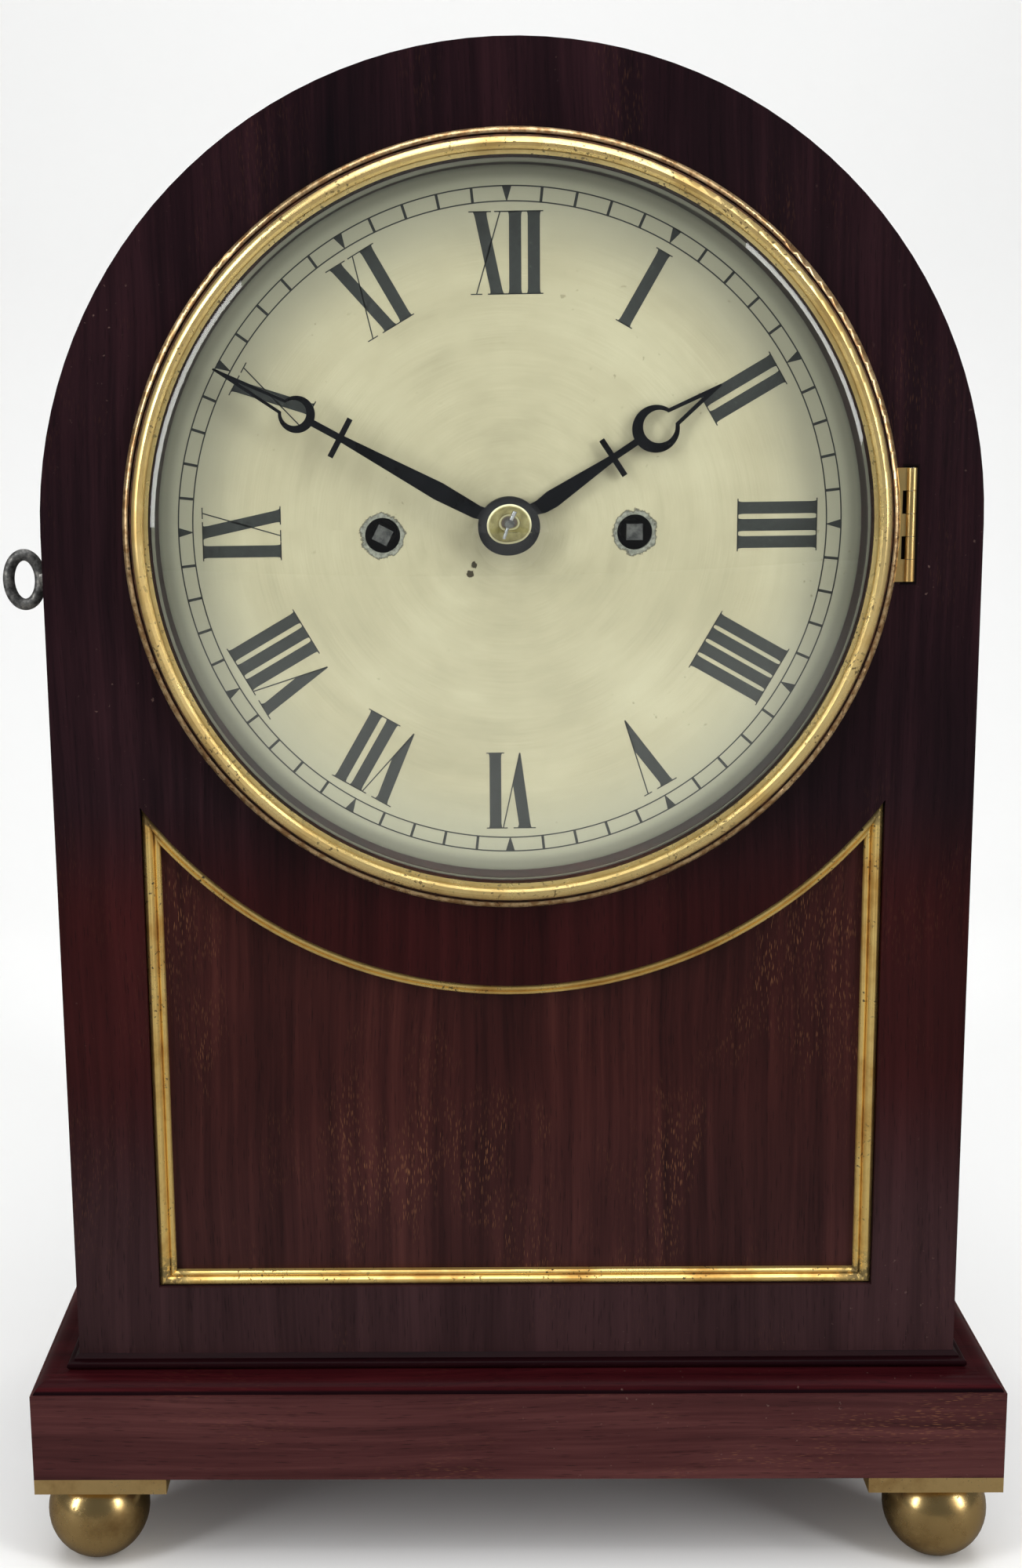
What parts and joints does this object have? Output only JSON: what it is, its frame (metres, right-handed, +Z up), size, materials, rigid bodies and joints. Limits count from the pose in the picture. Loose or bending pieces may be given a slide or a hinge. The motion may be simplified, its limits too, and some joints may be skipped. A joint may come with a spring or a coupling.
{
  "type": "bracket clock",
  "caption": "Arch-topped wooden bracket clock with a round silvered dial, hinged brass bezel, sunk front panel, ball feet and a spring-driven striking movement.",
  "frame": {"origin": "on the ground under the middle of the plinth", "axes": "X to the right as the dial is read, Y from the dial to the back, Z up"},
  "size_m": [0.2736, 0.1662, 0.416],
  "materials": {
    "case_wood": "polished mahogany, satin gloss",
    "plinth_wood": "polished mahogany, gloss",
    "inner_wood": "bare oak and mahogany",
    "bezel_brass": "polished, slightly tarnished",
    "strip_brass": "lacquered, spotted",
    "foot_brass": "patinated",
    "silvered": "silvered, matt",
    "blued_steel": "blued, polished",
    "movement_brass": "polished",
    "steel": "polished",
    "key_iron": "mottled grey",
    "glass": "clear",
    "bell_metal": "bell metal, satin",
    "gut": "gut line"
  },
  "bodies": {
    "case": {"case_shell": "case_wood", "front_board": "case_wood", "front_panel": "case_wood", "case_floor": "inner_wood", "back_frame": "case_wood", "plinth": "plinth_wood", "plinth_moulding": "plinth_wood", "seatboard": "inner_wood", "foot_pads": "foot_brass", "ball_feet": "foot_brass", "lock_case": "movement_brass", "strip_arc": "strip_brass", "strip_bottom": "strip_brass", "strip_sides": "strip_brass", "case_hinge_leaf": "bezel_brass", "hinge_pins": "steel", "back_case_leaves": "bezel_brass", "dial_plate": "silvered", "front_plate": "movement_brass", "back_plate": "movement_brass", "pillars": "movement_brass", "back_cock": "movement_brass", "gut_lines": "gut", "bell": "bell_metal", "bell_stand": "steel"},
    "bezel": {"bezel_ring": "bezel_brass", "bezel_glass": "glass", "glass_ring": "bezel_brass", "bezel_hinge_leaf": "bezel_brass", "bezel_staple": "bezel_brass"},
    "key": {"key": "key_iron"},
    "bolt": {"lock_bolt": "steel"},
    "back_door": {"back_door": "case_wood", "back_glass": "glass", "back_door_leaves": "bezel_brass"},
    "door_turn": {"back_turn": "bezel_brass"},
    "minute": {"minute_hand": "blued_steel", "cannon_pinion": "movement_brass"},
    "hour": {"hour_hand": "blued_steel", "hour_wheel": "movement_brass"},
    "motion": {"minute_wheel": "movement_brass"},
    "centre": {"centre_wheel": "movement_brass", "hand_collet": "bezel_brass", "hand_pin": "steel"},
    "going_great": {"going_fusee": "movement_brass"},
    "going_drum": {"going_barrel": "movement_brass"},
    "third": {"third_wheel": "movement_brass"},
    "escape": {"escape_wheel": "movement_brass"},
    "anchor": {"pallets": "steel"},
    "pendulum": {"suspension_spring": "steel", "pendulum_rod": "steel", "pendulum_bob": "movement_brass", "rating_nut": "movement_brass"},
    "strike_great": {"strike_fusee": "movement_brass"},
    "strike_drum": {"strike_barrel": "movement_brass"},
    "pins": {"pin_wheel": "movement_brass"},
    "gathering": {"gathering_wheel": "movement_brass"},
    "warning": {"warning_wheel": "movement_brass"},
    "fly_vane": {"fly": "movement_brass"},
    "hammer_arm": {"hammer": "steel"}
  },
  "joints": [
    {"name": "bezel_open", "type": "hinge", "parent": "case", "child": "bezel", "pos_m": [0.1039, -0.06975, 0.293], "axis": [0, 0, 1], "range_deg": [0, 110]},
    {"name": "key_turn", "type": "hinge", "parent": "case", "child": "key", "pos_m": [-0.123, -0.04695, 0.2799], "axis": [-1, 0, 0], "range_deg": [0, 90]},
    {"name": "bolt_slide", "type": "slide", "parent": "case", "child": "bolt", "axis": [0, 0, 1], "range_m": [0, 0.003]},
    {"name": "back_door_open", "type": "hinge", "parent": "case", "child": "back_door", "pos_m": [0.09175, 0.08305, 0.23], "axis": [0, 0, -1], "range_deg": [0, 120]},
    {"name": "door_turn", "type": "hinge", "parent": "back_door", "child": "door_turn", "pos_m": [-0.0849, 0.08105, 0.2], "axis": [0, -1, 0], "range_deg": [0, 90]},
    {"name": "minute_hand_turn", "type": "hinge", "parent": "case", "child": "minute", "pos_m": [0, 0, 0.293], "axis": [0, 1, 0], "continuous": true},
    {"name": "hour_hand_turn", "type": "hinge", "parent": "case", "child": "hour", "pos_m": [0, 0, 0.293], "axis": [0, 1, 0], "continuous": true},
    {"name": "minute_wheel_turn", "type": "hinge", "parent": "case", "child": "motion", "pos_m": [0, 0, 0.275], "axis": [0, 1, 0], "continuous": true},
    {"name": "centre_arbor_turn", "type": "hinge", "parent": "case", "child": "centre", "pos_m": [0, 0, 0.293], "axis": [0, 1, 0], "continuous": true},
    {"name": "going_fusee_turn", "type": "hinge", "parent": "case", "child": "going_great", "pos_m": [0.0335, 0, 0.2915], "axis": [0, 1, 0], "continuous": true},
    {"name": "going_barrel_turn", "type": "hinge", "parent": "case", "child": "going_drum", "pos_m": [0.0415, 0, 0.2445], "axis": [0, 1, 0], "continuous": true},
    {"name": "third_wheel_turn", "type": "hinge", "parent": "case", "child": "third", "pos_m": [0.00648, 0, 0.31717], "axis": [0, 1, 0], "continuous": true},
    {"name": "escape_wheel_turn", "type": "hinge", "parent": "case", "child": "escape", "pos_m": [0, 0, 0.33715], "axis": [0, 1, 0], "continuous": true},
    {"name": "pendulum_swing", "type": "hinge", "parent": "case", "child": "pendulum", "pos_m": [0, 0, 0.35695], "axis": [0, 1, 0], "range_deg": [-3, 3]},
    {"name": "pallets_rock", "type": "hinge", "parent": "case", "child": "anchor", "pos_m": [0, 0, 0.35695], "axis": [0, 1, 0], "range_deg": [-3, 3]},
    {"name": "gathering_wheel_turn", "type": "hinge", "parent": "case", "child": "gathering", "pos_m": [-0.0467, 0, 0.33952], "axis": [0, 1, 0], "continuous": true},
    {"name": "pin_wheel_turn", "type": "hinge", "parent": "case", "child": "pins", "pos_m": [-0.03909, 0, 0.32321], "axis": [0, 1, 0], "continuous": true},
    {"name": "strike_fusee_turn", "type": "hinge", "parent": "case", "child": "strike_great", "pos_m": [-0.0335, 0, 0.2915], "axis": [0, 1, 0], "continuous": true},
    {"name": "strike_barrel_turn", "type": "hinge", "parent": "case", "child": "strike_drum", "pos_m": [-0.0415, 0, 0.2445], "axis": [0, 1, 0], "continuous": true},
    {"name": "warning_wheel_turn", "type": "hinge", "parent": "case", "child": "warning", "pos_m": [-0.03442, 0, 0.34661], "axis": [0, 1, 0], "continuous": true},
    {"name": "fly_turn", "type": "hinge", "parent": "case", "child": "fly_vane", "pos_m": [-0.0249, 0, 0.34111], "axis": [0, 1, 0], "continuous": true},
    {"name": "hammer_lift", "type": "hinge", "parent": "case", "child": "hammer_arm", "pos_m": [-0.063, 0, 0.323], "axis": [0, -1, 0], "range_deg": [0, 10]}
  ],
  "couplings": [
    {"joint": "key_turn", "follows": "bolt_slide", "rad_per_m": 523.59},
    {"joint": "hour_hand_turn", "follows": "minute_hand_turn", "ratio": 0.083333},
    {"joint": "minute_wheel_turn", "follows": "minute_hand_turn", "ratio": -1},
    {"joint": "centre_arbor_turn", "follows": "minute_hand_turn", "ratio": 1},
    {"joint": "going_fusee_turn", "follows": "minute_hand_turn", "ratio": -0.083333},
    {"joint": "going_barrel_turn", "follows": "minute_hand_turn", "ratio": -0.052707},
    {"joint": "third_wheel_turn", "follows": "minute_hand_turn", "ratio": -12},
    {"joint": "escape_wheel_turn", "follows": "minute_hand_turn", "ratio": 132},
    {"joint": "pallets_rock", "follows": "pendulum_swing", "ratio": 1},
    {"joint": "pin_wheel_turn", "follows": "gathering_wheel_turn", "ratio": -0.125},
    {"joint": "strike_fusee_turn", "follows": "gathering_wheel_turn", "ratio": 0.011905},
    {"joint": "strike_barrel_turn", "follows": "gathering_wheel_turn", "ratio": 0.0075295},
    {"joint": "warning_wheel_turn", "follows": "gathering_wheel_turn", "ratio": -8},
    {"joint": "fly_turn", "follows": "gathering_wheel_turn", "ratio": 54.857}
  ]
}
